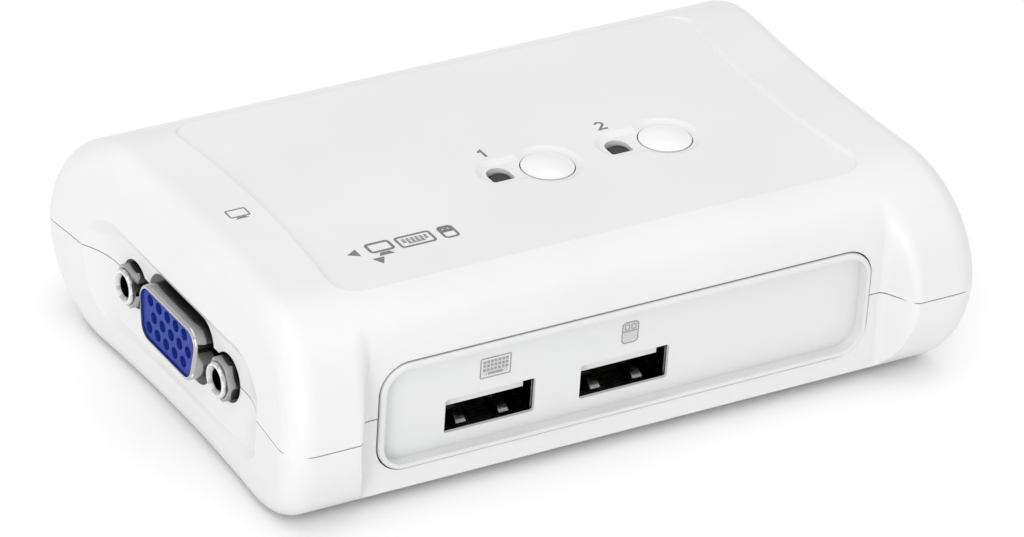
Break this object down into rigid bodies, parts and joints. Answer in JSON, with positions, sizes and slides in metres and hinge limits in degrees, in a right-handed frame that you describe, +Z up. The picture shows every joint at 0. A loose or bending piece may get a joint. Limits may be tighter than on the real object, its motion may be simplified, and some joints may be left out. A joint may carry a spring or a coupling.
{
  "type": "kvm switch",
  "caption": "Desktop keyboard, video and mouse switch with bulging white case, push buttons, status windows, front USB sockets and 15-pin video sockets.",
  "frame": {"origin": "bottom centre of the case, on the desk surface that the rubber feet rest on", "axes": "+X along the long side towards the plain end, -Y towards the front with the USB sockets, -X end holds the console video socket, +Z up"},
  "size_m": [0.1014, 0.0684, 0.0287],
  "materials": {
    "case_plastic": "satin white moulded ABS",
    "bezel_plastic": "satin white moulded ABS, a little cooler",
    "button_plastic": "glossy white moulded ABS",
    "clear_lens": "clear acrylic",
    "led_epoxy": "tinted epoxy",
    "black_plastic": "black moulded nylon",
    "plated_steel": "tin plated steel sheet",
    "white_insulator": "white nylon",
    "gold_contact": "gold flashed copper alloy",
    "bright_nickel": "bright nickel plated steel",
    "blue_insulator": "blue glass filled plastic",
    "board_laminate": "green solder mask on glass laminate",
    "aluminium_can": "drawn aluminium can",
    "screw_steel": "zinc plated steel",
    "foot_rubber": "dark grey rubber"
  },
  "bodies": {
    "case": {"top_cover": "case_plastic", "bottom_cover": "case_plastic", "front_bezel": "bezel_plastic", "light_pipe_1": "clear_lens", "led_1": "led_epoxy", "switch_1_base": "black_plastic", "switch_1_cover_plate": "plated_steel", "switch_1_snap_dome": "plated_steel", "usb_1_shell": "plated_steel", "usb_1_tongue": "white_insulator", "usb_1_contacts": "gold_contact", "light_pipe_2": "clear_lens", "led_2": "led_epoxy", "switch_2_base": "black_plastic", "switch_2_cover_plate": "plated_steel", "switch_2_snap_dome": "plated_steel", "usb_2_shell": "plated_steel", "usb_2_tongue": "white_insulator", "usb_2_contacts": "gold_contact", "console_port_shell": "bright_nickel", "console_port_insulator": "blue_insulator", "console_port_contacts": "gold_contact", "console_port_bracket": "black_plastic", "console_port_jackscrews": "bright_nickel", "computer_port_1_shell": "bright_nickel", "computer_port_1_insulator": "blue_insulator", "computer_port_1_contacts": "gold_contact", "computer_port_1_bracket": "black_plastic", "computer_port_1_jackscrews": "bright_nickel", "computer_port_2_shell": "bright_nickel", "computer_port_2_insulator": "blue_insulator", "computer_port_2_contacts": "gold_contact", "computer_port_2_bracket": "black_plastic", "computer_port_2_jackscrews": "bright_nickel", "circuit_board": "board_laminate", "controller_chip": "black_plastic", "video_switch_chip": "black_plastic", "memory_chip": "black_plastic", "crystal": "aluminium_can", "capacitors": "aluminium_can", "case_screws": "screw_steel", "rubber_feet": "foot_rubber"},
    "button_1": {"button_1": "button_plastic"},
    "button_2": {"button_2": "button_plastic"},
    "plunger_1": {"switch_1_plunger": "black_plastic"},
    "plunger_2": {"switch_2_plunger": "black_plastic"}
  },
  "joints": [
    {"name": "button_1_press", "type": "slide", "parent": "case", "child": "button_1", "axis": [0, 0, -1], "range_m": [0, 0.00025], "stiffness_N_per_m": 1500, "springref_m": -0.0001},
    {"name": "plunger_1_travel", "type": "slide", "parent": "case", "child": "plunger_1", "axis": [0, 0, -1], "range_m": [0, 0.00025]},
    {"name": "button_2_press", "type": "slide", "parent": "case", "child": "button_2", "axis": [0, 0, -1], "range_m": [0, 0.00025], "stiffness_N_per_m": 1500, "springref_m": -0.0001},
    {"name": "plunger_2_travel", "type": "slide", "parent": "case", "child": "plunger_2", "axis": [0, 0, -1], "range_m": [0, 0.00025]}
  ],
  "couplings": [
    {"joint": "plunger_1_travel", "follows": "button_1_press", "ratio": 1},
    {"joint": "plunger_2_travel", "follows": "button_2_press", "ratio": 1}
  ]
}
